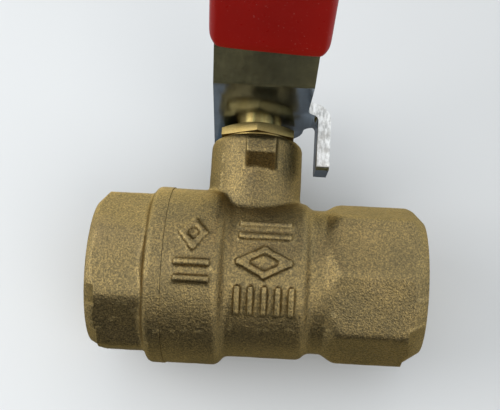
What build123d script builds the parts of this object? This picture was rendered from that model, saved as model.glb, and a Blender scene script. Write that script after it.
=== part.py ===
from build123d import *
import os
from math import asin, cos, radians, sin, sqrt, tan

os.makedirs("parts", exist_ok=True)

# Half-inch brass ball valve, in millimetres. X runs along the pipe and Z up the stem.
# The origin is the middle of the body's open end face, so the whole valve lies at X < 0.

# Lengths along the pipe, measured from the ball's centre
body_reach = 29.4        # to the body's end face
cap_reach = 26.6         # to the end cap's end face
seam = 13.8              # to the joint between the body and the end cap
collar_width = 3.1
ball_x = -body_reach

# Outside of the castings
barrel_radius = 15.15
mark_radius = 13.6       # the narrower barrel that carries the raised marks
waist_radius = 12.45
body_flats = 25.9        # octagon, flat to flat
cap_flats = 26.7
body_turn = -2.0         # angle of an octagon corner from the -Y side
cap_turn = 20.5
rim_radius = 11.3
neck_radius = 8.15
neck_top = 24.3

# Waterway
thread_radius = 10.6     # root of the pipe thread
port_depth = 13.3
flow_radius = 7.0
spigot_radius = 12.75
pocket_radius = 10.4
pocket_depth = 10.9      # seat pocket's floor, from the ball's centre
cavity_radius = 11.9

# Ball and seats
ball_radius = 11.6
seat_gap = 0.1
seat_face = 7.2          # seat's inner face, from the ball's centre
slot_width = 4.8
slot_floor = 8.7

# Stem and packing
stem_radius = 4.0
running_gap = 0.05
stem_collar_radius = 4.9
stem_collar_bottom = 11.9
stem_collar_top = 13.2
washer_top = 14.05
box_floor = 17.6         # floor of the stuffing box
box_radius = 5.6
packing_height = 1.4
packing_count = 3
gland_height = 0.9
o_ring_levels = (15.1, 16.6)
o_ring_section = 0.5
stem_thread_radius = 2.95
stem_top = 37.4
flat_half_width = 2.9    # half the stem's width across its two flats

# Packing nut
nut_flats = 12.85
nut_face_radius = 6.15
nut_hex_bottom = 24.8
nut_hex_top = 26.5

# Lever: it stands rest_angle away from fully closed
rest_angle = 3.0
plate_bottom = 27.4
plate_thickness = 2.2
plate_half_width = 8.1
bend_reach = 22.0
rise_angle = 20.0
rise_reach = 42.0
lever_reach = 98.0
ear_inner = 10.0
ear_bottom = 18.0
ear_front = 9.2
ear_back = 2.7
ear_fillet = 2.2
rear_ear_inner = 10.4
grip_wall = 1.1
grip_start = 30.0

# Handle nut
handle_nut_flats = 10.0
lock_washer_height = 1.5
handle_nut_height = 5.0

# Stop lugs on the neck
lug_offset = 1.0
lug_half_width = 2.5
lug_face = 11.3

side = Plane(origin=(ball_x, 0, 0), x_dir=(1, 0, 0), z_dir=(0, -1, 0))
stem_axis = Axis((ball_x, 0, 0), (0, 0, 1))
turn = radians(rest_angle)
handle = Plane(origin=(ball_x, 0, 0), x_dir=(cos(turn), sin(turn), 0), z_dir=(0, 0, 1))
handle_side = Plane(origin=(ball_x, 0, 0), x_dir=handle.y_dir, z_dir=handle.x_dir)
handle_front = Plane(origin=(ball_x, 0, 0), x_dir=handle.x_dir, z_dir=-handle.y_dir)


def level(height):
    """A horizontal plane at a height on the stem's axis, square to the pipe."""
    return Plane(origin=(ball_x, 0, height), x_dir=(1, 0, 0), z_dir=(0, 0, 1))


def ring(inner, outer, bottom, height):
    """A plain flat ring around the stem."""
    with BuildPart() as piece:
        with BuildSketch(level(bottom)):
            Circle(outer)
            Circle(inner, mode=Mode.SUBTRACT)
        extrude(amount=height)
    return piece.part


def octagon_end(flats, corner_turn, start, stop, bevel):
    """A rounded octagonal pipe end along X, bevelled by a cone at each end.

    bevel holds the profile's (x, radius) points, from the start to the stop.
    """
    with BuildPart() as piece:
        with BuildSketch(Plane.YZ.offset(start)):
            RegularPolygon(flats / 2, 8, major_radius=False, rotation=corner_turn)
            fillet(vertices(), 1.2)
        extrude(amount=stop - start)
        with BuildSketch(Plane.XZ):
            with BuildLine():
                Polyline((start, 0), *bevel, (stop, 0), close=True)
            make_face()
        revolve(axis=Axis.X, mode=Mode.INTERSECT)
    return piece.part


body_end = octagon_end(
    body_flats,
    body_turn,
    ball_x + 12.6,
    0,
    [(ball_x + 12.6, waist_radius), (ball_x + 15.4, 14.2), (-2.9, 14.2), (0, rim_radius)],
)
cap_face = ball_x - cap_reach
cap_end = octagon_end(
    cap_flats,
    cap_turn,
    cap_face,
    ball_x - seam - 1,
    [(cap_face, 12.3), (cap_face + 1.9, 14.3), (ball_x - seam - 1, 14.3)],
)

# Body: one casting with the barrel, the waist, the octagonal pipe end and the neck
with BuildPart() as body:
    with BuildSketch(side):
        with BuildLine():
            Polyline(
                (-seam, 0),
                (-seam, barrel_radius),
                (-5.2, barrel_radius),
                (-3.7, mark_radius),
                (8.9, mark_radius),
                (10.3, waist_radius),
                (16.0, waist_radius),
                (16.0, 0),
                close=True,
            )
        make_face()
        corners = vertices().filter_by(lambda v: v.Y > waist_radius - 0.1)
        fillet(corners.filter_by(lambda v: -6 < v.X < 12), 0.9)
    revolve(axis=Axis.X)
    add(body_end)
    with BuildSketch(level(0)):
        Circle(neck_radius)
    extrude(amount=neck_top)
    rim = edges().filter_by(GeomType.CIRCLE).group_by(Axis.Z)[-1]
    fillet(rim, 1.3)
    saddle = edges().filter_by(GeomType.BSPLINE).filter_by(
        lambda e: e.bounding_box().min.Z > 10 and abs(e.center().Y) < neck_radius
        and abs(e.center().X - ball_x) < neck_radius + 0.1
    )
    fillet(saddle, 0.8)

    # Front and rear stop lugs, with a sloping underside
    with BuildSketch(Plane.YZ.offset(ball_x + lug_offset - lug_half_width)):
        with BuildLine():
            Polyline(
                (-7.0, neck_top - 1.2),
                (-lug_face + 0.6, neck_top - 1.6),
                (-lug_face, neck_top - 2.2),
                (-lug_face, neck_top - 4.6),
                (-7.4, neck_top - 6.8),
                close=True,
            )
        make_face()
    front_lug = extrude(amount=2 * lug_half_width)
    with BuildSketch(Plane.YZ.offset(ball_x - lug_half_width)):
        with BuildLine():
            Polyline(
                (7.0, neck_top - 1.2),
                (lug_face - 0.6, neck_top - 1.6),
                (lug_face, neck_top - 2.2),
                (lug_face, neck_top - 4.6),
                (7.4, neck_top - 6.8),
                close=True,
            )
        make_face()
    rear_lug = extrude(amount=2 * lug_half_width)

    # Waterway, from the end cap's socket to the pipe thread
    with BuildSketch(side):
        with BuildLine():
            Polyline(
                (-seam, 0),
                (-seam, spigot_radius + running_gap),
                (-7.6, spigot_radius + running_gap),
                (-7.6, cavity_radius),
                (5.8, cavity_radius),
                (5.8, pocket_radius + running_gap),
                (pocket_depth, pocket_radius + running_gap),
                (pocket_depth, flow_radius),
                (body_reach - port_depth - 1.6, flow_radius),
                (body_reach - port_depth, thread_radius),
                (body_reach, thread_radius),
                (body_reach, 0),
                close=True,
            )
        make_face()
    revolve(axis=Axis.X, mode=Mode.SUBTRACT)

    # Stem passage: collar recess, bore and stuffing box
    with BuildSketch(side):
        with BuildLine():
            Polyline(
                (0, 9.0),
                (stem_collar_radius + 0.15, 9.0),
                (stem_collar_radius + 0.15, washer_top),
                (stem_radius + running_gap, washer_top),
                (stem_radius + running_gap, box_floor),
                (box_radius, box_floor),
                (box_radius, neck_top),
                (0, neck_top),
                close=True,
            )
        make_face()
    revolve(axis=stem_axis, mode=Mode.SUBTRACT)
body.part.label = "body"
export_step(body.part, "parts/body.step")

# End cap: octagonal pipe end, round collar and the spigot that screws into the body
with BuildPart() as end_cap:
    add(cap_end)
    with BuildSketch(side):
        with BuildLine():
            Polyline(
                (-seam - collar_width, 0),
                (-seam - collar_width, barrel_radius + 0.15),
                (-seam - 0.05, barrel_radius + 0.15),
                (-seam - 0.05, spigot_radius),
                (-7.8, spigot_radius),
                (-7.8, 0),
                close=True,
            )
        make_face()
        collar_corner = vertices().group_by(Axis.Y)[-1].sort_by(Axis.X)
        fillet(collar_corner[0], 1.0)
        fillet(collar_corner[-1], 0.25)
    revolve(axis=Axis.X)
    with BuildSketch(side):
        with BuildLine():
            Polyline(
                (-cap_reach, 0),
                (-cap_reach, thread_radius),
                (-cap_reach + port_depth, thread_radius),
                (-cap_reach + port_depth, flow_radius),
                (-pocket_depth, flow_radius),
                (-pocket_depth, pocket_radius + running_gap),
                (-7.8, pocket_radius + running_gap),
                (-7.8, 0),
                close=True,
            )
        make_face()
        with BuildLine():
            Polyline(
                (-seam - 0.05, spigot_radius),
                (-seam - 0.05, 14.2),
                (-seam - 0.6, 14.2),
                (-seam - 0.6, spigot_radius),
                close=True,
            )
        make_face()
    revolve(axis=Axis.X, mode=Mode.SUBTRACT)
end_cap.part.label = "end_cap"
export_step(end_cap.part, "parts/end_cap.step")

# Seal between the end cap's collar and the body's end face
with BuildPart() as body_seal:
    with BuildSketch(Plane.YZ.offset(ball_x - seam - 0.6)):
        Circle(14.1)
        Circle(spigot_radius + 0.05, mode=Mode.SUBTRACT)
    extrude(amount=0.58)
body_seal.part.label = "body_seal"
export_step(body_seal.part, "parts/body_seal.step")

# Ball: through bore along the handle's direction, with the stem's slot on top
with BuildPart() as ball:
    with Locations((ball_x, 0, 0)):
        Sphere(ball_radius)
    with BuildSketch(handle_front.offset(-ball_radius)):
        Circle(flow_radius)
    extrude(amount=2 * ball_radius, mode=Mode.SUBTRACT)
    with BuildSketch(handle.offset(slot_floor)):
        Rectangle(2 * ball_radius, slot_width)
    extrude(amount=ball_radius, mode=Mode.SUBTRACT)
ball.part.label = "ball"
export_step(ball.part, "parts/ball.step")

# Seats: one in the end cap and one in the body, each with a spherical face
seat_sphere = ball_radius + seat_gap
seat_bore = flow_radius + 0.3
lip_radius = sqrt(seat_sphere**2 - seat_face**2)
lip_turn = (asin(lip_radius / seat_sphere) + asin(seat_bore / seat_sphere)) / 2
for seat_name, toward in (("cap_seat", -1), ("body_seat", 1)):
    with BuildPart() as seat:
        with BuildSketch(side):
            with BuildLine():
                Polyline(
                    (toward * seat_face, lip_radius),
                    (toward * seat_face, pocket_radius),
                    (toward * pocket_depth, pocket_radius),
                    (toward * pocket_depth, seat_bore),
                    (toward * sqrt(seat_sphere**2 - seat_bore**2), seat_bore),
                )
                ThreePointArc(
                    (toward * sqrt(seat_sphere**2 - seat_bore**2), seat_bore),
                    (toward * seat_sphere * cos(lip_turn), seat_sphere * sin(lip_turn)),
                    (toward * seat_face, lip_radius),
                )
            make_face()
        revolve(axis=Axis.X)
    seat.part.label = seat_name
    export_step(seat.part, f"parts/{seat_name}.step")

# Stem: tang in the ball's slot, collar that cannot blow out, O-ring grooves, flats and thread
with BuildPart() as stem:
    with BuildSketch(handle.offset(slot_floor + 0.25)):
        Rectangle(8.4, slot_width - 0.2)
        Circle(stem_collar_radius - 0.2, mode=Mode.INTERSECT)
    extrude(amount=stem_collar_bottom - slot_floor)
    with BuildSketch(side):
        with BuildLine():
            points = [(0, stem_collar_bottom), (stem_collar_radius, stem_collar_bottom)]
            points += [(stem_collar_radius, stem_collar_top), (stem_radius, stem_collar_top)]
            for groove in o_ring_levels:
                points += [(stem_radius, groove - 0.55), (3.0, groove - 0.55)]
                points += [(3.0, groove + 0.55), (stem_radius, groove + 0.55)]
            points += [(stem_radius, plate_bottom + plate_thickness - 0.1)]
            points += [(stem_thread_radius, plate_bottom + plate_thickness - 0.1)]
            points += [(stem_thread_radius, stem_top - 0.6), (stem_thread_radius - 0.6, stem_top)]
            Polyline(*points, (0, stem_top), close=True)
        make_face()
    revolve(axis=stem_axis)
    with BuildSketch(handle.offset(plate_bottom - 0.03)):
        Rectangle(12, 12)
        Rectangle(2 * flat_half_width, 12, mode=Mode.SUBTRACT)
    extrude(amount=plate_thickness + 0.23, mode=Mode.SUBTRACT)
stem.part.label = "stem"
export_step(stem.part, "parts/stem.step")

# Rings on the stem
thrust_washer = ring(stem_radius + 0.06, stem_collar_radius, stem_collar_top + 0.05, 0.75)
thrust_washer.label = "thrust_washer"
export_step(thrust_washer, "parts/thrust_washer.step")

for o_ring_name, height in zip(("lower_o_ring", "upper_o_ring"), o_ring_levels):
    with BuildPart() as o_ring:
        with BuildSketch(side):
            with Locations((3.52, height)):
                Circle(o_ring_section)
        revolve(axis=stem_axis)
    o_ring.part.label = o_ring_name
    export_step(o_ring.part, f"parts/{o_ring_name}.step")

for index in range(packing_count):
    name = f"packing_ring_{index + 1}"
    packing = ring(
        stem_radius + running_gap,
        box_radius - 0.02,
        box_floor + index * packing_height,
        packing_height - 0.02,
    )
    packing.label = name
    export_step(packing, f"parts/{name}.step")

gland_bottom = box_floor + packing_count * packing_height
gland_ring = ring(stem_radius + 0.1, box_radius - 0.05, gland_bottom, gland_height)
gland_ring.label = "gland_ring"
export_step(gland_ring, "parts/gland_ring.step")

# Packing nut: threaded spigot, turned washer face and a thin bevelled hexagon
with BuildPart() as packing_nut:
    with BuildSketch(level(nut_hex_bottom)):
        RegularPolygon(nut_flats / 2, 6, major_radius=False, rotation=30)
    extrude(amount=nut_hex_top - nut_hex_bottom)
    corner_radius = nut_flats / 2 / cos(radians(30))
    with BuildSketch(side):
        with BuildLine():
            Polyline(
                (0, nut_hex_bottom),
                (corner_radius - 0.15, nut_hex_bottom),
                (corner_radius, nut_hex_bottom + 0.1),
                (corner_radius, nut_hex_top - 0.35),
                (corner_radius - 0.9, nut_hex_top),
                (0, nut_hex_top),
                close=True,
            )
        make_face()
    revolve(axis=stem_axis, mode=Mode.INTERSECT)
    with BuildSketch(level(neck_top + 0.05)):
        Circle(nut_face_radius)
    extrude(amount=nut_hex_bottom - neck_top - 0.05)
    with BuildSketch(level(gland_bottom + gland_height)):
        Circle(box_radius - 0.05)
    extrude(until=Until.NEXT)
    with BuildSketch(level(gland_bottom)):
        Circle(stem_radius + 0.1)
    extrude(amount=nut_hex_top, mode=Mode.SUBTRACT)
packing_nut.part.label = "packing_nut"
export_step(packing_nut.part, "parts/packing_nut.step")

# Lever: a bent steel strip with two ears that meet the stop lugs
rise = radians(rise_angle)
rise_height = (rise_reach - bend_reach) * tan(rise)
mitre = plate_thickness * tan(rise / 2)
plate_top = plate_bottom + plate_thickness
tail_bottom = plate_bottom + rise_height
tail_top = tail_bottom + plate_thickness
strip_profile = [
    (plate_half_width, plate_bottom),
    (-bend_reach, plate_bottom),
    (-rise_reach, tail_bottom),
    (-lever_reach, tail_bottom),
    (-lever_reach, tail_top),
    (-rise_reach - mitre, tail_top),
    (-bend_reach + mitre, plate_top),
    (plate_half_width, plate_top),
]


def bent_ear(plane, root, inner, width):
    """An ear bent down from the plate, drawn on a plane square to its width."""
    with BuildPart() as piece:
        with BuildSketch(plane):
            with BuildLine():
                Polyline(
                    (root, plate_bottom),
                    (root, plate_top),
                    (inner + plate_thickness, plate_top),
                    (inner + plate_thickness, ear_bottom),
                    (inner, ear_bottom),
                    (inner, plate_bottom),
                    close=True,
                )
            make_face()
            fillet(vertices().group_by(Axis.Y)[1].sort_by(Axis.X)[-1], 0.8)
            fillet(vertices().group_by(Axis.Y)[-1].sort_by(Axis.X)[-1], 3.0)
        extrude(amount=width)
    return piece.part


with BuildPart() as lever:
    with BuildSketch(handle_side):
        with BuildLine():
            Polyline(*strip_profile, close=True)
        make_face()
        upper_bends = vertices().filter_by(lambda v: -rise_reach - 5 < v.X < -bend_reach + 5)
        fillet(upper_bends, 3.0)
    extrude(amount=plate_half_width, both=True)
    with BuildSketch(handle):
        Circle(plate_half_width)
        with Locations((0, -lever_reach / 2)):
            Rectangle(2 * plate_half_width, lever_reach)
        fillet(vertices().group_by(Axis.Y)[0], 7.5)
    extrude(amount=60, mode=Mode.INTERSECT)

    # Right ear, bent down beside the neck
    add(bent_ear(handle_front.offset(ear_back), 6.0, ear_inner, ear_front - ear_back))
    ear_corners = edges().filter_by(lambda e: abs(e.center().Z - ear_bottom) < 0.01)
    ear_corners = ear_corners.filter_by(lambda e: abs(e.length - plate_thickness) < 0.01)
    fillet(ear_corners, 1.2)

    # The right ear's roots, filleted into the strip's side
    root_front, root_back = ear_front + ear_fillet, ear_back - ear_fillet
    with BuildPart(mode=Mode.PRIVATE) as ear_root:
        add(bent_ear(handle_front.offset(root_back), 6.0, ear_inner, root_front - root_back))
        with BuildSketch(handle.offset(plate_bottom)):
            with Locations((plate_half_width, -(root_front + root_back) / 2)):
                Rectangle(2 * ear_fillet, root_front - root_back)
            with Locations(
                (plate_half_width + ear_fillet, -root_front),
                (plate_half_width + ear_fillet, -root_back),
            ):
                Circle(ear_fillet, mode=Mode.SUBTRACT)
        extrude(amount=plate_thickness, mode=Mode.INTERSECT)
    add(ear_root.part)

    # Left rear ear, bent down behind the neck
    add(bent_ear(handle_side.offset(-plate_half_width), 0, rear_ear_inner, plate_half_width - ear_back))

    # Hole that grips the stem's flats
    with BuildSketch(handle.offset(plate_bottom)):
        Circle(stem_radius + 0.02)
        Rectangle(2 * flat_half_width + 0.04, 12, mode=Mode.INTERSECT)
    extrude(amount=plate_thickness, mode=Mode.SUBTRACT)
lever.part.label = "lever"
export_step(lever.part, "parts/lever.step")

# Grip: a soft sleeve over the lever's tail
sleeve_profile = [
    (-grip_start, plate_bottom + (grip_start - bend_reach) * tan(rise) - grip_wall),
    (-rise_reach, tail_bottom - grip_wall),
    (-lever_reach - grip_wall, tail_bottom - grip_wall),
    (-lever_reach - grip_wall, tail_top + grip_wall),
    (-rise_reach - mitre, tail_top + grip_wall),
    (-grip_start - 0.8, plate_top + (grip_start - bend_reach) * tan(rise) + grip_wall),
]
with BuildPart() as grip:
    with BuildSketch(handle_side):
        with BuildLine():
            Polyline(*sleeve_profile, close=True)
        make_face()
        fillet(vertices().filter_by(lambda v: -rise_reach - 5 < v.X < -rise_reach + 2), 3.0)
    extrude(amount=plate_half_width + grip_wall, both=True)
    with BuildSketch(handle):
        with Locations((0, -lever_reach / 2)):
            Rectangle(2 * (plate_half_width + grip_wall), lever_reach + 2 * grip_wall)
        fillet(vertices().group_by(Axis.Y)[0], 8.0)
    extrude(amount=60, mode=Mode.INTERSECT)
    long_edges = edges().filter_by(lambda e: e.length > 40)
    fillet(long_edges, 0.9)
    add(lever.part, mode=Mode.SUBTRACT)
grip.part.label = "grip"
export_step(grip.part, "parts/grip.step")

# Lock washer: a split spring ring
with BuildPart() as lock_washer:
    with BuildSketch(handle.offset(plate_top)):
        Circle(4.9)
        Circle(stem_thread_radius + 0.15, mode=Mode.SUBTRACT)
        with Locations((4, 0)):
            Rectangle(4, 0.7, mode=Mode.SUBTRACT)
    extrude(amount=lock_washer_height)
lock_washer.part.label = "lock_washer"
export_step(lock_washer.part, "parts/lock_washer.step")

# Handle nut: a bevelled hexagon nut on the stem's thread
with BuildPart() as handle_nut:
    nut_bottom = plate_top + lock_washer_height
    nut_corner = handle_nut_flats / 2 / cos(radians(30))
    with BuildSketch(handle.offset(nut_bottom)):
        RegularPolygon(handle_nut_flats / 2, 6, major_radius=False, rotation=12)
    extrude(amount=handle_nut_height)
    with BuildSketch(side):
        with BuildLine():
            Polyline(
                (0, nut_bottom),
                (nut_corner - 0.7, nut_bottom),
                (nut_corner, nut_bottom + 0.4),
                (nut_corner, nut_bottom + handle_nut_height - 0.4),
                (nut_corner - 0.7, nut_bottom + handle_nut_height),
                (0, nut_bottom + handle_nut_height),
                close=True,
            )
        make_face()
    revolve(axis=stem_axis, mode=Mode.INTERSECT)
    with BuildSketch(handle.offset(nut_bottom)):
        Circle(stem_thread_radius + 0.02)
    extrude(amount=handle_nut_height, mode=Mode.SUBTRACT)
    chamfer(edges().filter_by(GeomType.CIRCLE).sort_by(SortBy.RADIUS)[:2], 0.35)
handle_nut.part.label = "handle_nut"
export_step(handle_nut.part, "parts/handle_nut.step")
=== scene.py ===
from math import cos, degrees, pi, radians, sin, sqrt, tan

import bmesh
import bpy
import numpy as np
from mathutils import Matrix, Vector, noise


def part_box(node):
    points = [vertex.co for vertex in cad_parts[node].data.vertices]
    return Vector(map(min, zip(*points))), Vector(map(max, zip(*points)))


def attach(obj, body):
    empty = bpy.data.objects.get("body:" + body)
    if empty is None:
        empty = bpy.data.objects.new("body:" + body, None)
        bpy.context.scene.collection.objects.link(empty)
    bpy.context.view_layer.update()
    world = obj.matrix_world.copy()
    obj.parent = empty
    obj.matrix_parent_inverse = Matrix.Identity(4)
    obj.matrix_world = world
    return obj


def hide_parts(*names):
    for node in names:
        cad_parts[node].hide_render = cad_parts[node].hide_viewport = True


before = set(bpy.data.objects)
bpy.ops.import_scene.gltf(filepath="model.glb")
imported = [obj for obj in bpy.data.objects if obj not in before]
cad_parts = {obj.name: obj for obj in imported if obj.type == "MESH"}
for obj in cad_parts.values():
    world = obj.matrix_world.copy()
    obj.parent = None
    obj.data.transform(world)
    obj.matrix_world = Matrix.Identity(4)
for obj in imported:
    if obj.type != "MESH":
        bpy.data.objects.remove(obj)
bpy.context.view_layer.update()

# Everything below is written in millimetres from the ball's centre.
# point() turns it into the row frame.
MM = 0.001
ball_low, ball_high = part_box("ball")
ball_centre = (ball_low + ball_high) / 2
body_low, body_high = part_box("body")
cap_low, cap_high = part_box("end_cap")

# Along the pipe
body_reach = (body_high.x - ball_centre.x) / MM
cap_reach = (ball_centre.x - cap_low.x) / MM
seam = (ball_centre.x - body_low.x) / MM
collar_start = -seam - 3.1
port_depth = 13.3

# Radii round the pipe
barrel_radius = (body_high.y - ball_centre.y) / MM
collar_radius = (cap_high.y - ball_centre.y) / MM
mark_radius = 13.6
mark_width = 1.1
waist_radius = 12.45
body_flats = 25.9
cap_flats = 26.7
body_turn = -2.0
cap_turn = 20.5
rim_radius = 11.3
cap_rim_radius = 12.3
thread_root = 10.6
thread_crest = 9.35
thread_pitch = 1.814
thread_end = port_depth - 0.4
flow_radius = 7.0
socket_radius = 12.8
chamber_radius = 11.9
seat_radius = 10.45
spigot_radius = 12.75
clear_radius = 22.0

# Round the stem
neck_radius = 8.15
neck_top = (body_high.z - ball_centre.z) / MM
box_radius = 5.6
lug_face = 11.3
neck_edge = 1.3

# Handle
rest_angle = 3.0
plate_bottom = 27.4
plate_thickness = 2.2
plate_half_width = 8.1
bend_reach = 22.0
rise_angle = 20.0
rise_reach = 42.0
lever_reach = 98.0
grip_start = 30.0
grip_wall = 1.1

CAST_VOXEL = 0.28
CAST_SMOOTHING = 6
EDGE_SEGMENTS = 3
EDGE_ANGLE = 28.0


def point(x, y, z):
    """A point given in millimetres from the ball's centre, in the row frame."""
    return ball_centre + MM * Vector((x, y, z))


def handle_point(across, along, z):
    """A point in the handle's own axes, which stand rest_angle away from closed."""
    turn = radians(rest_angle)
    return point(across * cos(turn) - along * sin(turn), across * sin(turn) + along * cos(turn), z)


def mesh_object(name, vertices, faces):
    """A new mesh from vertices in the row frame, with its faces turned outwards."""
    mesh = bpy.data.meshes.new(name)
    mesh.from_pydata([tuple(v) for v in vertices], [], faces)
    shape = bmesh.new()
    shape.from_mesh(mesh)
    bmesh.ops.recalc_face_normals(shape, faces=shape.faces)
    shape.to_mesh(mesh)
    shape.free()
    piece = bpy.data.objects.new(name, mesh)
    bpy.context.scene.collection.objects.link(piece)
    return piece


def rings_object(name, rings, closed=False):
    """A closed skin over a list of equal rings of points; closed joins the last ring to the first."""
    count = len(rings[0])
    vertices = [v for ring in rings for v in ring]
    faces = []
    spans = len(rings) if closed else len(rings) - 1
    for i in range(spans):
        a, b = i * count, (i + 1) % len(rings) * count
        for j in range(count):
            k = (j + 1) % count
            faces.append((a + j, a + k, b + k, b + j))
    if not closed:
        faces.append(tuple(reversed(range(count))))
        faces.append(tuple(range((len(rings) - 1) * count, len(rings) * count)))
    return mesh_object(name, vertices, faces)


def lathe(name, profile, segments, about="pipe", thread=None):
    """A turned solid from (along, radius) points; thread(along, turn), if given, changes the radius."""
    rings = []
    for along, radius in profile:
        ring = []
        for i in range(segments):
            turn = 2 * pi * i / segments
            r = max(0.001, radius + (thread(along, turn) if thread else 0))
            if about == "pipe":
                ring.append(point(along, r * cos(turn), r * sin(turn)))
            else:
                ring.append(point(r * cos(turn), r * sin(turn), along))
        rings.append(ring)
    return rings_object(name, rings)


def finer(profile, step):
    """The profile with extra points, so that no run is longer than step."""
    points = [profile[0]]
    for (a, b), (c, d) in zip(profile, profile[1:]):
        count = max(1, int(sqrt((c - a) ** 2 + (d - b) ** 2) / step))
        points += [(a + (c - a) * i / count, b + (d - b) * i / count) for i in range(1, count + 1)]
    return points


def profile_radius(profile, x):
    """The radius of an (x, radius) profile at x."""
    return float(np.interp(x, [p[0] for p in profile], [p[1] for p in profile]))


def soft_min(a, b, width):
    """The smaller of two radii, with a rounded change from one to the other."""
    gap = max(0.0, 1 - abs(a - b) / width)
    return min(a, b) - width * gap * gap / 4


def octagon_radius(flats, corner_turn, turn):
    """The radius of an octagon with rounded corners, at an angle from -Y towards +Z."""
    away = (degrees(turn) - corner_turn) % 45 - 22.5
    return soft_min(flats / 2 / cos(radians(away)), flats / 2 / cos(radians(22.5)) - 0.1, 0.3)


def octagon_blank(name, flats, corner_turn, cone):
    """The raw octagonal pipe end: an octagon inside a turned or cast cone, given as (x, radius) points."""
    rings = []
    start, stop = cone[0][0], cone[-1][0]
    for x in np.arange(start, stop + 0.3, 0.3):
        ring = []
        for i in range(180):
            turn = 2 * pi * i / 180
            r = soft_min(octagon_radius(flats, corner_turn, turn), profile_radius(cone, x), 0.5)
            ring.append(point(x, -r * cos(turn), r * sin(turn)))
        rings.append(ring)
    return rings_object(name, rings)


def wedge(name, outline, half_width, middle=0.0):
    """A lug blank: an outline of (y, z) points, carried across the pipe's direction."""
    rings = []
    for x in (middle - half_width, middle + half_width):
        rings.append([point(x, y, z) for y, z in outline])
    return rings_object(name, rings)


def stroke(points, width, radius, height):
    """A raised line on the barrel, through (x, up) points, where up is measured round the barrel."""
    boxes = []
    for (x0, u0), (x1, u1) in zip(points, points[1:]):
        length = sqrt((x1 - x0) ** 2 + (u1 - u0) ** 2)
        count = max(1, int(length / 0.8))
        dx, du = (x1 - x0) / length, (u1 - u0) / length
        for i in range(count):
            first = length * i / count - (width / 2 if i == 0 else 0.1)
            last = length * (i + 1) / count + (width / 2 if i == count - 1 else 0.1)
            ring_set = []
            for r, half in ((radius - 1.0, width * 0.62), (radius + height, width * 0.42)):
                ring = []
                for a, b in ((first, -half), (last, -half), (last, half), (first, half)):
                    x, up = x0 + dx * a - du * b, u0 + du * a + dx * b
                    ring.append(point(x, -r * cos(up / radius), r * sin(up / radius)))
                ring_set.append(ring)
            boxes.append(rings_object("stroke", ring_set))
    return boxes


def apply_modifiers(piece):
    """Bakes a piece's modifiers into its mesh."""
    bpy.context.view_layer.update()
    evaluated = piece.evaluated_get(bpy.context.evaluated_depsgraph_get())
    old = piece.data
    piece.data = bpy.data.meshes.new_from_object(evaluated)
    piece.modifiers.clear()
    bpy.data.meshes.remove(old)


def joined(name, pieces):
    """One object made of all the pieces' meshes."""
    shape = bmesh.new()
    for piece in pieces:
        shape.from_mesh(piece.data)
        mesh = piece.data
        bpy.data.objects.remove(piece)
        bpy.data.meshes.remove(mesh)
    mesh = bpy.data.meshes.new(name)
    shape.to_mesh(mesh)
    shape.free()
    result = bpy.data.objects.new(name, mesh)
    bpy.context.scene.collection.objects.link(result)
    return result


def cast(name, blanks, blend_zone):
    """Fuses the blanks into one casting with soft edges and an uneven, grainy skin."""
    piece = joined(name, blanks)
    remesh = piece.modifiers.new("union", "REMESH")
    remesh.mode = "VOXEL"
    remesh.voxel_size = CAST_VOXEL * MM
    soften = piece.modifiers.new("soften", "SMOOTH")
    soften.factor, soften.iterations = 0.5, CAST_SMOOTHING
    apply_modifiers(piece)
    mesh = piece.data
    places = np.zeros(len(mesh.vertices) * 3)
    mesh.vertices.foreach_get("co", places)
    local = (places.reshape(-1, 3) - np.array(ball_centre)) / MM
    if blend_zone:
        group = piece.vertex_groups.new(name="saddle")
        off_neck = np.abs(np.hypot(local[:, 0], local[:, 1]) - neck_radius)
        off_barrel = np.abs(np.hypot(local[:, 1], local[:, 2]) - mark_radius - 0.6)
        weight = np.clip(2.6 - off_neck, 0, 1) * np.clip(3.0 - off_barrel, 0, 1) * (local[:, 2] > 6)
        for i in np.nonzero(weight > 0.02)[0]:
            group.add([int(i)], float(weight[i]), "REPLACE")
        blend = piece.modifiers.new("saddle", "SMOOTH")
        blend.factor, blend.iterations, blend.vertex_group = 0.5, 14, "saddle"
        apply_modifiers(piece)
        mesh = piece.data
        piece.vertex_groups.clear()
    normals = np.zeros(len(mesh.vertices) * 3)
    mesh.vertices.foreach_get("co", places)
    mesh.vertices.foreach_get("normal", normals)
    places, normals = places.reshape(-1, 3), normals.reshape(-1, 3)
    for i in range(len(places)):
        p = Vector(places[i]) / MM
        swell = 0.045 * noise.noise(p * 0.16) + 0.03 * noise.noise(p * 0.45)
        grain = 0.008 * noise.noise(p * 1.5) + 0.006 * noise.noise(p * 2.7)
        places[i] += normals[i] * (swell + grain) * MM
    mesh.vertices.foreach_set("co", places.ravel())
    mesh.update()
    return piece


def machine(piece, cutter, skin, cut_material, dull_from=99.0):
    """Cuts the cutter out of a casting; cut faces shine, apart from those farther out than dull_from."""
    if not piece.data.materials:
        piece.data.materials.append(skin)
    cutter.data.materials.append(cut_material)
    cutter.data.materials.append(skin)
    for face in cutter.data.polygons:
        middle = (face.center - ball_centre) / MM
        face.material_index = int(sqrt(middle.y**2 + middle.z**2) > dull_from)
    cut = piece.modifiers.new("cut", "BOOLEAN")
    cut.operation, cut.object, cut.solver = "DIFFERENCE", cutter, "MANIFOLD"
    cut.material_mode = "TRANSFER"
    apply_modifiers(piece)
    mesh = cutter.data
    bpy.data.objects.remove(cutter)
    bpy.data.meshes.remove(mesh)


def smooth_by_angle(piece, limit):
    """Smooth shading, with edges sharper than limit degrees, or between materials, left crisp."""
    shape = bmesh.new()
    shape.from_mesh(piece.data)
    for face in shape.faces:
        face.smooth = True
    for edge in shape.edges:
        if len(edge.link_faces) == 2:
            a, b = edge.link_faces
            edge.smooth = edge.calc_face_angle(0) < radians(limit) and a.material_index == b.material_index
    shape.to_mesh(piece.data)
    shape.free()


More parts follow.
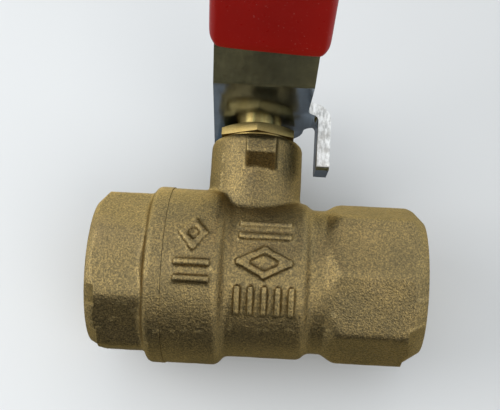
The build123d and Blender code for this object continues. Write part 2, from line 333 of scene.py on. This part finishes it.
def copy_of(node, name):
    """A new object with a clean copy of a CAD node's mesh."""
    piece = bpy.data.objects.new(name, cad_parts[node].data.copy())
    piece.data.materials.clear()
    bpy.context.scene.collection.objects.link(piece)
    shape = bmesh.new()
    shape.from_mesh(piece.data)
    bmesh.ops.remove_doubles(shape, verts=shape.verts, dist=0.001 * MM)
    bmesh.ops.dissolve_limit(shape, angle_limit=radians(0.5), verts=shape.verts, edges=shape.edges)
    shape.to_mesh(piece.data)
    shape.free()
    return piece


def rounded(piece, width):
    """Rounds a piece's sharp edges and shades it smooth."""
    bevel = piece.modifiers.new("edges", "BEVEL")
    bevel.width, bevel.segments = width * MM, EDGE_SEGMENTS
    bevel.limit_method, bevel.angle_limit = "ANGLE", radians(EDGE_ANGLE)
    bevel.use_clamp_overlap = True
    apply_modifiers(piece)
    smooth_by_angle(piece, 40)


# ---------------------------------------------------------------- materials


class Paint:
    """A procedural material built round one Principled shader."""

    def __init__(self, name, **sockets):
        self.material = bpy.data.materials.new(name)
        self.material.use_nodes = True
        self.tree = self.material.node_tree
        self.shader = self.tree.nodes["Principled BSDF"]
        for label, value in sockets.items():
            self.shader.inputs[label.replace("_", " ")].default_value = value
        self.place = self.tree.nodes.new("ShaderNodeTexCoord").outputs["Object"]
        self.normal = None

    def node(self, kind, **inputs):
        made = self.tree.nodes.new("ShaderNode" + kind)
        for label, value in inputs.items():
            self.feed(made.inputs[label.replace("_", " ")], value)
        return made

    def feed(self, socket, value):
        if isinstance(value, bpy.types.NodeSocket):
            self.tree.links.new(value, socket)
        else:
            socket.default_value = value

    def scaled(self, x, y, z):
        """The object's coordinates, stretched."""
        mapping = self.node("Mapping", Vector=self.place)
        mapping.inputs["Scale"].default_value = (x, y, z)
        return mapping.outputs["Vector"]

    def noise(self, scale, detail, rough, vector=None):
        """Grey noise over the object's coordinates, or over the ones given."""
        place = vector or self.place
        made = self.node("TexNoise", Vector=place, Scale=scale, Detail=detail, Roughness=rough)
        return made.outputs["Fac"]

    def ramp(self, value, *stops):
        """A colour or grey ramp over (place, colour) stops."""
        made = self.node("ValToRGB", Fac=value)
        elements = made.color_ramp.elements
        while len(elements) < len(stops):
            elements.new(0.5)
        for element, (place, colour) in zip(elements, stops):
            element.position = place
            shade = colour if isinstance(colour, tuple) else (colour,) * 3
            element.color = (*shade, 1)
        return made.outputs["Color"]

    def mix(self, share, a, b, blend="MIX"):
        made = self.tree.nodes.new("ShaderNodeMix")
        made.data_type, made.blend_type = "RGBA", blend
        self.feed(made.inputs[0], share)
        self.feed(made.inputs[6], a if isinstance(a, bpy.types.NodeSocket) else (*a, 1))
        self.feed(made.inputs[7], b if isinstance(b, bpy.types.NodeSocket) else (*b, 1))
        return made.outputs[2]

    def math(self, operation, a, b):
        made = self.tree.nodes.new("ShaderNodeMath")
        made.operation = operation
        self.feed(made.inputs[0], a)
        self.feed(made.inputs[1], b)
        return made.outputs[0]

    def bump(self, height, distance, strength):
        """Adds relief of that depth in millimetres on top of what is there."""
        made = self.node("Bump", Height=height, Strength=strength, Distance=distance * MM)
        if self.normal:
            self.feed(made.inputs["Normal"], self.normal)
        self.normal = made.outputs["Normal"]

    def done(self, **sockets):
        for label, value in sockets.items():
            self.feed(self.shader.inputs[label.replace("_", " ")], value)
        if self.normal:
            self.feed(self.shader.inputs["Normal"], self.normal)
        return self.material


def cast_brass():
    """Sand-cast brass: dull olive gold, with painted shade darkening its hollows and wear paling its
    edges.
    """
    paint = Paint("cast_brass", Metallic=1.0, IOR=1.5, Specular_Tint=(0.8, 0.68, 0.46, 1))
    grain = paint.noise(3500, 3, 0.65)
    grit = paint.noise(1900, 2, 0.6)
    patches = paint.noise(130, 3, 0.6)
    tone = paint.ramp(patches, (0.32, (0.29, 0.25, 0.155)), (0.68, (0.40, 0.33, 0.185)))
    speck = paint.ramp(
        grain, (0.38, (0.16, 0.145, 0.11)), (0.52, (0.5, 0.43, 0.29)), (0.66, (0.93, 0.79, 0.48))
    )
    colour = paint.mix(0.62, tone, speck, "OVERLAY")
    # Pointiness sets two marks: hollows are darkened as painted shade, convex edges are paled as wear.
    edges = paint.node("NewGeometry").outputs["Pointiness"]
    edge_wear_and_hollow_shade = paint.ramp(edges, (0.43, 0.0), (0.48, 0.5), (0.52, 0.5), (0.57, 1.0))
    hollow_shade_and_edge_wear = paint.mix(edge_wear_and_hollow_shade, (0.34, 0.32, 0.29), (1.08, 1.06, 1.02))
    colour = paint.mix(1.0, colour, hollow_shade_and_edge_wear, "MULTIPLY")
    stain = paint.ramp(paint.noise(75, 2, 0.5), (0.56, 0.0), (0.74, 1.0))
    colour = paint.mix(paint.math("MULTIPLY", stain, 0.3), colour, (0.27, 0.2, 0.12))
    rough = paint.ramp(grit, (0.3, 0.5), (0.7, 0.36))
    paint.bump(grit, 0.16, 0.55)
    paint.bump(grain, 0.12, 0.8)
    return paint.done(Base_Color=colour, Roughness=rough)


def machined_brass(name="machined_brass", rings=True, light=1.0, rough=0.24):
    """Turned brass: clean gold with fine tool lines; light below 1 dims the colour as painted shade."""
    paint = Paint(name, Metallic=1.0, Specular_Tint=(0.9, 0.78, 0.5, 1))
    haze = paint.noise(160, 3, 0.55)
    fine = paint.noise(5200, 2, 0.5, paint.scaled(1.0, 0.06, 0.06) if rings else None)
    low, high = (0.62 * light, 0.43 * light, 0.13 * light), (0.86 * light, 0.65 * light, 0.26 * light)
    colour = paint.ramp(haze, (0.3, low), (0.7, high))
    colour = paint.mix(0.35, colour, paint.ramp(fine, (0.35, 0.35), (0.65, 0.75)), "OVERLAY")
    paint.bump(fine, 0.02, 0.5)
    return paint.done(Base_Color=colour, Roughness=paint.ramp(haze, (0.3, rough), (0.7, rough + 0.12)))


def zinc_steel(name, shade, rough, tint=(0.78, 0.87, 0.93)):
    """Zinc-plated sheet: blue-grey, faintly blotched and rolled, with a low sheen."""
    paint = Paint(name, Metallic=1.0)
    cloud = paint.noise(220, 4, 0.6)
    rolled = paint.noise(1500, 2, 0.6, paint.scaled(1.0, 0.12, 1.0))
    pits = paint.ramp(paint.noise(2400, 1, 0.5), (0.66, 0.0), (0.74, 1.0))
    base = tuple(c * shade for c in tint)
    dim = tuple(c * 0.72 for c in base)
    colour = paint.mix(paint.ramp(cloud, (0.32, 0.0), (0.68, 1.0)), dim, base)
    colour = paint.mix(0.25, colour, paint.ramp(rolled, (0.3, 0.3), (0.7, 0.7)), "OVERLAY")
    colour = paint.mix(paint.math("MULTIPLY", pits, 0.4), colour, (0.10, 0.11, 0.12))
    paint.bump(rolled, 0.02, 0.4)
    paint.bump(cloud, 0.05, 0.3)
    return paint.done(Base_Color=colour, Roughness=paint.ramp(cloud, (0.3, rough + 0.1), (0.7, rough)))


def sheared_steel():
    """The broken edge that shears leave: pale, rough, with streaks across the sheet."""
    paint = Paint("sheared_edge", Metallic=0.55)
    streak = paint.noise(2300, 3, 0.6, paint.scaled(1.0, 1.0, 0.35))
    chips = paint.noise(900, 3, 0.65)
    colour = paint.ramp(
        streak, (0.34, (0.42, 0.42, 0.41)), (0.55, (0.72, 0.72, 0.70)), (0.7, (0.86, 0.86, 0.85))
    )
    colour = paint.mix(paint.ramp(chips, (0.5, 0.0), (0.72, 0.75)), colour, (0.4, 0.38, 0.35))
    paint.bump(chips, 0.12, 0.8)
    paint.bump(streak, 0.06, 0.8)
    return paint.done(Base_Color=colour, Roughness=paint.ramp(streak, (0.3, 0.6), (0.7, 0.38)))


def red_vinyl():
    """Dipped red vinyl: deep red with a soft gloss and a barely uneven skin."""
    paint = Paint("red_vinyl", IOR=1.5, Specular_IOR_Level=0.14)
    cloud = paint.noise(70, 3, 0.5)
    skin = paint.noise(520, 2, 0.5)
    dust = paint.ramp(paint.noise(3100, 1, 0.5), (0.72, 0.0), (0.8, 1.0))
    colour = paint.ramp(cloud, (0.3, (0.25, 0.005, 0.003)), (0.7, (0.31, 0.007, 0.004)))
    colour = paint.mix(paint.math("MULTIPLY", dust, 0.35), colour, (0.62, 0.25, 0.22))
    paint.bump(skin, 0.05, 0.5)
    return paint.done(Base_Color=colour, Roughness=paint.ramp(skin, (0.3, 0.34), (0.7, 0.27)))


def chrome_plate():
    """Hard chrome on the ball, with the faintest polishing marks."""
    paint = Paint("chrome_plate", Metallic=1.0)
    haze = paint.noise(260, 4, 0.6)
    lines = paint.noise(4200, 2, 0.5, paint.scaled(1.0, 1.0, 0.05))
    colour = paint.ramp(haze, (0.3, (0.60, 0.61, 0.62)), (0.7, (0.72, 0.73, 0.74)))
    paint.bump(lines, 0.006, 0.4)
    return paint.done(Base_Color=colour, Roughness=paint.ramp(haze, (0.35, 0.1), (0.7, 0.2)))


def white_ptfe():
    """Waxy white seat plastic with faint turning marks."""
    paint = Paint("white_ptfe", Subsurface_Weight=0.15, IOR=1.38)
    paint.shader.inputs["Subsurface Scale"].default_value = 0.4 * MM
    cloud = paint.noise(240, 3, 0.5)
    lines = paint.noise(3800, 2, 0.5, paint.scaled(1.0, 0.05, 0.05))
    colour = paint.ramp(cloud, (0.3, (0.78, 0.78, 0.75)), (0.7, (0.88, 0.88, 0.86)))
    paint.bump(lines, 0.015, 0.5)
    return paint.done(Base_Color=colour, Roughness=paint.ramp(cloud, (0.3, 0.42), (0.7, 0.34)))


def black_rubber():
    """Moulded black rubber with a matt bloom."""
    paint = Paint("black_rubber", IOR=1.5)
    bloom = paint.noise(600, 3, 0.6)
    colour = paint.ramp(bloom, (0.35, (0.012, 0.012, 0.013)), (0.7, (0.035, 0.035, 0.036)))
    paint.bump(bloom, 0.02, 0.5)
    return paint.done(Base_Color=colour, Roughness=paint.ramp(bloom, (0.3, 0.5), (0.7, 0.7)))


brass_skin = cast_brass()
brass_cut = machined_brass()
# The nut's brass is a darker copy (light 0.42): painted shade, standing in for the dimmer light on the
# nut.
brass_nut_painted_shade = machined_brass("nut_brass_painted_shade", rings=False, light=0.42, rough=0.34)
zinc_plate = zinc_steel("zinc_plate", 0.4, 0.15, (0.68, 0.84, 1.0))
zinc_bright = zinc_steel("zinc_bright", 0.55, 0.3)
steel_edge = sheared_steel()
vinyl = red_vinyl()
chrome = chrome_plate()
ptfe = white_ptfe()
rubber = black_rubber()

# ---------------------------------------------------------------- castings


def pipe_thread(port_end, inward):
    """The radius change of a female pipe thread: ridges inside the root, which run out farther in."""

    def ridge(along, turn):
        depth = (port_end - along) * inward
        if not -0.001 <= depth <= thread_end:
            return 0.0
        phase = (along / thread_pitch + inward * turn / (2 * pi)) % 1
        tooth = max(0.0, min(1.0, (1 - abs(2 * phase - 1)) * 1.25 - 0.1))
        entry = min(1.0, max(0.0, depth / 1.6))
        runout = min(1.0, max(0.0, (thread_end - depth) / 2.4))
        return -(thread_root - thread_crest) * tooth * entry * runout

    return ridge


barrel_profile = [
    (-seam - 0.6, barrel_radius),
    (-5.4, barrel_radius),
    (-4.7, barrel_radius - 0.35),
    (-3.9, mark_radius + 0.25),
    (-3.3, mark_radius),
    (8.6, mark_radius),
    (9.3, mark_radius - 0.25),
    (10.1, waist_radius + 0.15),
    (10.8, waist_radius),
    (16.0, waist_radius),
]
neck_profile = [(2.0, neck_radius), (neck_top - neck_edge, neck_radius)]
for step in range(1, 7):
    lean = radians(15 * step)
    neck_profile.append((
        neck_top - neck_edge + neck_edge * sin(lean),
        neck_radius - neck_edge + neck_edge * cos(lean),
    ))


def lug_outline(side):
    """A stop lug's outline as (y, z) points, on the -Y side or on the +Y side."""
    outline = [(7.0, neck_top - 1.2), (lug_face - 0.7, neck_top - 1.5), (lug_face + 0.05, neck_top - 2.2)]
    outline += [(lug_face + 0.05, neck_top - 4.5), (7.4, neck_top - 6.9)]
    return [(side * y, z) for y, z in outline]


def diamond(x, up, reach):
    """A closed diamond line of (x, up) points."""
    corners = [(x, up + reach), (x + reach * 0.8, up), (x, up - reach), (x - reach * 0.8, up)]
    return corners + [corners[0]]


# Plain raised foundry marks: two long bars, a wide lozenge and a row of short bars on the narrow barrel,
# and a diamond over two bars on the wide one
narrow_marks = [
    [(-1.2, 7.3), (6.4, 7.3)],
    [(-1.2, 4.9), (6.4, 4.9)],
    [(-1.4, 0.5), (2.6, 2.5), (6.6, 0.5), (2.6, -1.5), (-1.4, 0.5)],
    [(-1.6, -3.8), (-1.6, -7.4)],
    [(0.6, -3.8), (0.6, -7.4)],
    [(2.8, -3.8), (2.8, -7.4)],
    [(5.0, -3.8), (5.0, -7.4)],
    [(7.2, -3.8), (7.2, -7.4)],
]
wide_marks = [
    diamond(-9.0, 4.6, 2.2),
    [(-11.4, -0.2), (-6.6, -0.2)],
    [(-11.4, -2.8), (-6.6, -2.8)],
]
body_blanks = [
    lathe("barrel", finer(barrel_profile, 0.3), segments=180),
    octagon_blank("octagon", body_flats, body_turn, [
        (12.4, waist_radius - 0.2),
        (15.4, 14.25),
        (body_reach + 1.5, 14.25),
    ]),
    lathe("neck", finer(neck_profile, 0.3), about="stem", segments=120),
    wedge("front_lug", lug_outline(-1), 2.55, 1.0),
    wedge("rear_lug", lug_outline(1), 2.55),
]
for mark in narrow_marks:
    body_blanks += stroke(mark, mark_width, mark_radius, 0.85)
for mark in wide_marks:
    body_blanks += stroke(mark, mark_width, barrel_radius, 0.8)
body_casting = cast("body_casting", body_blanks, True)

bore_profile = [
    (-22.0, 0.0),
    (-22.0, clear_radius),
    (-seam, clear_radius),
    (-seam, 13.05),
    (-seam + 0.25, socket_radius),
    (-7.6, socket_radius),
    (-7.6, chamber_radius),
    (5.8, chamber_radius),
    (5.8, seat_radius),
    (10.9, seat_radius),
    (10.9, flow_radius),
    (body_reach - port_depth - 1.6, flow_radius),
    (body_reach - port_depth, thread_root),
]
bore_profile += finer([(body_reach - port_depth, thread_root), (body_reach - 0.01, thread_root)], 0.16)[1:]
bore_profile += [
    (body_reach, thread_root + 0.25),
    (body_reach, rim_radius),
    (body_reach - 2.9, 14.2),
    (body_reach - 3.4, clear_radius),
    (body_reach + 6, clear_radius),
    (body_reach + 6, 0.0),
]
machine(
    body_casting,
    lathe("bore", bore_profile, segments=144, thread=pipe_thread(body_reach, 1)),
    brass_skin,
    brass_cut,
    rim_radius + 0.3,
)
neck_bore = [
    (8.6, 0.0),
    (8.6, 5.05),
    (14.05, 5.05),
    (14.05, 4.05),
    (17.6, 4.05),
    (17.6, box_radius),
    (neck_top - 0.3, box_radius),
    (neck_top, box_radius + 0.3),
    (neck_top, 7.4),
    (neck_top + 3, 7.4),
    (neck_top + 3, 0.0),
]
machine(body_casting, lathe("neck_bore", neck_bore, about="stem", segments=96), brass_skin, brass_cut)
smooth_by_angle(body_casting, 50)
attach(body_casting, "valve_body")
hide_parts("body")

cap_profile = [
    (collar_start - 1.3, 13.2),
    (collar_start - 0.7, 13.5),
    (collar_start - 0.25, 13.9),
    (collar_start - 0.05, collar_radius - 1.1),
    (collar_start + 0.1, collar_radius - 0.6),
    (collar_start + 0.4, collar_radius - 0.2),
    (collar_start + 0.9, collar_radius),
    (-seam + 0.6, collar_radius),
]
cap_blanks = [
    lathe("collar", finer(cap_profile, 0.3), segments=180),
    octagon_blank("octagon", cap_flats, cap_turn, [
        (-cap_reach - 1.2, 14.35),
        (collar_start + 1.5, 14.35),
    ]),
]
cap_casting = cast("end_cap_casting", cap_blanks, False)
cap_bore = [
    (-cap_reach - 6, 0.0),
    (-cap_reach - 6, clear_radius),
    (-cap_reach + 2.4, clear_radius),
    (-cap_reach + 1.9, 14.3),
    (-cap_reach, cap_rim_radius),
    (-cap_reach, thread_root + 0.25),
]
cap_bore += finer([(-cap_reach + 0.01, thread_root), (-cap_reach + port_depth, thread_root)], 0.16)
cap_bore += [
    (-cap_reach + port_depth + 0.01, flow_radius),
    (-seam - 0.05, flow_radius),
    (-seam - 0.05, spigot_radius),
    (-seam - 0.6, spigot_radius),
    (-seam - 0.6, 14.2),
    (-seam - 0.05, 14.2),
    (-seam - 0.05, clear_radius),
    (4.0, clear_radius),
    (4.0, 0.0),
]
machine(
    cap_casting,
    lathe("cap_bore", cap_bore, segments=144, thread=pipe_thread(-cap_reach, -1)),
    brass_skin,
    brass_cut,
    cap_rim_radius + 0.3,
)
smooth_by_angle(cap_casting, 50)
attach(cap_casting, "valve_body")
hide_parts("end_cap")

# The end cap's turned spigot, which screws into the body and holds a seat
spigot_profile = [(-seam - 0.1, flow_radius), (-seam - 0.1, spigot_radius)]
spigot_profile += [
    (-8.1, spigot_radius),
    (-7.8, 12.45),
    (-7.8, seat_radius),
    (-10.9, seat_radius),
    (-10.9, flow_radius),
]
spigot_rings = []
for along, radius in spigot_profile:
    ring = [2 * pi * i / 144 for i in range(144)]
    spigot_rings.append([point(along, radius * cos(t), radius * sin(t)) for t in ring])
spigot = rings_object("end_cap_spigot", spigot_rings, closed=True)
spigot.data.materials.append(brass_cut)
smooth_by_angle(spigot, 30)
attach(spigot, "valve_body")

# ---------------------------------------------------------------- lever and grip

lever = copy_of("lever", "lever_strip")
lever.data.materials.append(zinc_plate)
lever.data.materials.append(steel_edge)
rounded(lever, 0.22)
for face in lever.data.polygons:
    middle = (face.center - ball_centre) / MM
    forward = -face.normal.y > 0.3 and abs(face.normal.z) < 0.7
    if forward and middle.z < plate_bottom + plate_thickness and abs(middle.x) > plate_half_width:
        face.material_index = 1
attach(lever, "handle")
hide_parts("lever")

outer_half = plate_half_width + grip_wall


def strip_line(along):
    """Height of the strip's underside at a distance along the handle, and its slope."""
    rise = tan(radians(rise_angle))
    if along < bend_reach:
        return plate_bottom, 0.0
    if along < rise_reach:
        return plate_bottom + (along - bend_reach) * rise, radians(rise_angle)
    return plate_bottom + (rise_reach - bend_reach) * rise, 0.0


def grip_section(along, half_width, low, high, corner):
    """One ring of the grip's skin: a rounded slab across the handle, askew at the mouth."""
    ring = []
    askew = max(0.0, 1 - (-along - grip_start) / 14)
    for cx, cz, first in ((1, -1, -90), (1, 1, 0), (-1, 1, 90), (-1, -1, 180)):
        for step in range(4):
            lean = radians(first + 30 * step)
            x = cx * (half_width - corner) + corner * cos(lean)
            z = (high - corner if cz > 0 else low + corner) + corner * sin(lean)
            ring.append((x + 0.3, along - askew * (0.35 - 0.85 * x / outer_half), z))
    return ring


def smooth_strip(along):
    """The strip's underside with its bends eased, for the grip's soft skin."""
    reach = 2.4
    return sum(strip_line(along + reach * k / 6)[0] for k in range(-6, 7)) / 13


grip_length = lever_reach + grip_wall
tip_radius = 8.0
stations = [grip_start, grip_start + 0.5, grip_start + 1.4]
stations += list(np.arange(grip_start + 3, grip_length - tip_radius, 1.5))
tip_turns = [0, 15, 30, 45, 58, 70, 80, 86]
grip_rings = []
for along in stations:
    lip = max(0.0, 1 - (along - grip_start) / 1.4)
    half = outer_half - 0.5 * lip
    low = smooth_strip(along) - grip_wall + 0.25 * lip
    high = low + plate_thickness + 2 * grip_wall - 0.5 * lip
    grip_rings.append(grip_section(-along, half, low, high, 1.55))
for degrees_in in tip_turns:
    lean = radians(degrees_in)
    along = grip_length - tip_radius + tip_radius * sin(lean)
    half = outer_half - tip_radius + tip_radius * cos(lean)
    low = smooth_strip(along) - grip_wall
    high = low + plate_thickness + 2 * grip_wall
    pinch = 0.9 * (1 - cos(lean)) ** 2
    grip_rings.append(grip_section(-along, max(half, 1.9), low + pinch, high - pinch, 1.4))
inner_rings = []
for along, half in (
    (grip_start + 0.15, plate_half_width + 0.25),
    (grip_start + 0.9, plate_half_width + 0.04),
    (grip_start + 6, plate_half_width + 0.02),
):
    gap = 0.04 * (1 if along > grip_start + 0.5 else 5)
    low = smooth_strip(along) - gap
    high = smooth_strip(along) + plate_thickness + gap
    inner_rings.append(grip_section(-along, half, low, high, 0.35))
grip = rings_object(
    "grip_sleeve",
    [[handle_point(*p) for p in ring] for ring in list(reversed(inner_rings)) + grip_rings],
)
soften = grip.modifiers.new("soften", "SUBSURF")
soften.levels = soften.render_levels = 2
apply_modifiers(grip)
grip.data.materials.append(vinyl)
smooth_by_angle(grip, 60)
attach(grip, "handle")
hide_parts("grip")

# ---------------------------------------------------------------- turned pieces kept from the CAD shapes


def refined(node, name, material, body, width):
    """A CAD piece with its edges broken, in its finished material."""
    piece = copy_of(node, name)
    piece.data.materials.append(material)
    rounded(piece, width)
    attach(piece, body)
    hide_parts(node)


refined("packing_nut", "packing_nut_turned", brass_nut_painted_shade, "valve_body", 0.14)
refined("handle_nut", "handle_nut_zinc", zinc_bright, "handle", 0.12)
refined("lock_washer", "lock_washer_zinc", zinc_bright, "handle", 0.12)
refined("ball", "ball_chromed", chrome, "ball", 0.2)

carried = {
    "stem": brass_cut,
    "gland_ring": brass_cut,
    "body_seal": ptfe,
    "cap_seat": ptfe,
    "body_seat": ptfe,
    "thrust_washer": ptfe,
    "packing_ring_1": ptfe,
    "packing_ring_2": ptfe,
    "packing_ring_3": ptfe,
    "lower_o_ring": rubber,
    "upper_o_ring": rubber,
}
for node, material in carried.items():
    for material_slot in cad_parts[node].material_slots:
        material_slot.material = material

# ---------------------------------------------------------------- stage, light and camera

table_y = barrel_radius + 0.3
table_size = 900
table = mesh_object(
    "table",
    [point(table_size * a, table_y, table_size * b) for a, b in ((-1, -1), (1, -1), (1, 1), (-1, 1))],
    [(0, 1, 2, 3)],
)
if table.data.polygons[0].normal.y > 0:
    table.data.flip_normals()
table_paint = Paint("pale_table", Roughness=0.55)
cloud = table_paint.noise(14, 2, 0.5)
tone = table_paint.ramp(cloud, (0.3, (0.67, 0.68, 0.685)), (0.7, (0.69, 0.70, 0.705)))
# Painted shade: the table's colour darkens to the right, to 0.86 between 70 mm left and 20 mm right of the
# origin.
across = table_paint.node("SeparateXYZ", Vector=table_paint.place).outputs["X"]
shade = table_paint.ramp(table_paint.math("ADD", across, 0.07), (0.0, 1.0), (0.09, 0.86))
table_paint.done(Base_Color=table_paint.mix(1.0, tone, shade, "MULTIPLY"))
tree = table_paint.tree
see_through = tree.nodes.new("ShaderNodeBsdfTransparent")
one_sided = tree.nodes.new("ShaderNodeMixShader")
tree.links.new(tree.nodes.new("ShaderNodeNewGeometry").outputs["Backfacing"], one_sided.inputs[0])
tree.links.new(table_paint.shader.outputs[0], one_sided.inputs[1])
tree.links.new(see_through.outputs[0], one_sided.inputs[2])
tree.links.new(one_sided.outputs[0], tree.nodes["Material Output"].inputs["Surface"])
table.data.materials.append(table_paint.material)
table.visible_glossy = False


def area_light(name, place, target, size, power, colour=(1, 1, 1)):
    """A soft square light at a point, turned to face another."""
    data = bpy.data.lights.new(name, "AREA")
    data.shape, data.size, data.energy, data.color = "SQUARE", size, power, colour
    lamp = bpy.data.objects.new(name, data)
    lamp.location = point(*place)
    aim = point(*target) - lamp.location
    lamp.rotation_euler = aim.to_track_quat("-Z", "Y").to_euler()
    bpy.context.scene.collection.objects.link(lamp)


middle = (0, -10, 5)
area_light("key", (-430, -380, 40), middle, 0.34, 1.15, (1.0, 0.985, 0.96))
area_light("fill", (260, -430, -260), middle, 0.4, 0.9, (1.0, 0.98, 0.95))
area_light("back", (-200, 300, 450), middle, 0.4, 0.6)

world = bpy.data.worlds.new("studio")
bpy.context.scene.world = world
world.use_nodes = True
room = world.node_tree
lit = room.nodes["Background"]
lit.inputs["Color"].default_value = (0.93, 0.97, 1.0, 1)
direction = room.nodes.new("ShaderNodeTexCoord").outputs["Generated"]


def glow(towards, start, stop, low, high):
    """Room light that goes smoothly from low to high as the direction nears towards."""
    facing = room.nodes.new("ShaderNodeVectorMath")
    facing.operation = "DOT_PRODUCT"
    facing.inputs[1].default_value = Vector(towards).normalized()
    room.links.new(direction, facing.inputs[0])
    spread = room.nodes.new("ShaderNodeMapRange")
    spread.interpolation_type = "SMOOTHSTEP"
    for label, value in (("From Min", start), ("From Max", stop), ("To Min", low), ("To Max", high)):
        spread.inputs[label].default_value = value
    room.links.new(facing.outputs["Value"], spread.inputs["Value"])
    return spread.outputs["Result"]


def product(a, b):
    """One strength times another."""
    made = room.nodes.new("ShaderNodeMath")
    made.operation = "MULTIPLY"
    room.links.new(a, made.inputs[0])
    room.links.new(b, made.inputs[1])
    return made.outputs[0]


overhead = glow((0, -0.35, 0.94), -0.2, 0.7, 0.64, 1.28)
underneath = glow((0, -0.1, -0.99), 0.66, 0.84, 1.0, 0.08)
behind = glow((0, 1, 0), 0.8, 0.97, 1.0, 0.2)
sideways = glow((-1, 0, 0), -1.0, 1.0, 0.97, 1.03)
strength = product(product(overhead, underneath), product(behind, sideways))
room.links.new(strength, lit.inputs["Strength"])
pale = room.nodes.new("ShaderNodeBackground")
pale.inputs["Color"].default_value = (0.78, 0.79, 0.80, 1)
seen = room.nodes.new("ShaderNodeMixShader")
room.links.new(room.nodes.new("ShaderNodeLightPath").outputs["Is Camera Ray"], seen.inputs[0])
room.links.new(lit.outputs[0], seen.inputs[1])
room.links.new(pale.outputs[0], seen.inputs[2])
room.links.new(seen.outputs[0], room.nodes["World Output"].inputs["Surface"])

camera_place = (4.877, -156.354, -24.226)
camera_yaw, camera_pitch, camera_roll = radians(-2.06), radians(13.46), radians(-3.38)
focal_length = 64.86
camera_data = bpy.data.cameras.new("camera")
camera_data.sensor_width, camera_data.lens = 36, focal_length
camera_data.clip_start, camera_data.clip_end = 0.005, 10
camera = bpy.data.objects.new("camera", camera_data)
bpy.context.scene.collection.objects.link(camera)
forward = Vector((
    sin(camera_yaw) * cos(camera_pitch),
    cos(camera_yaw) * cos(camera_pitch),
    sin(camera_pitch),
))
level_right = Vector((cos(camera_yaw), -sin(camera_yaw), 0))
level_down = forward.cross(level_right)
right = cos(camera_roll) * level_right + sin(camera_roll) * level_down
down = -sin(camera_roll) * level_right + cos(camera_roll) * level_down
camera_turn = Matrix((right, -down, -forward)).transposed().to_4x4()
camera.matrix_world = Matrix.Translation(point(*camera_place)) @ camera_turn
bpy.context.scene.camera = camera

bpy.context.scene.view_settings.view_transform = "Standard"
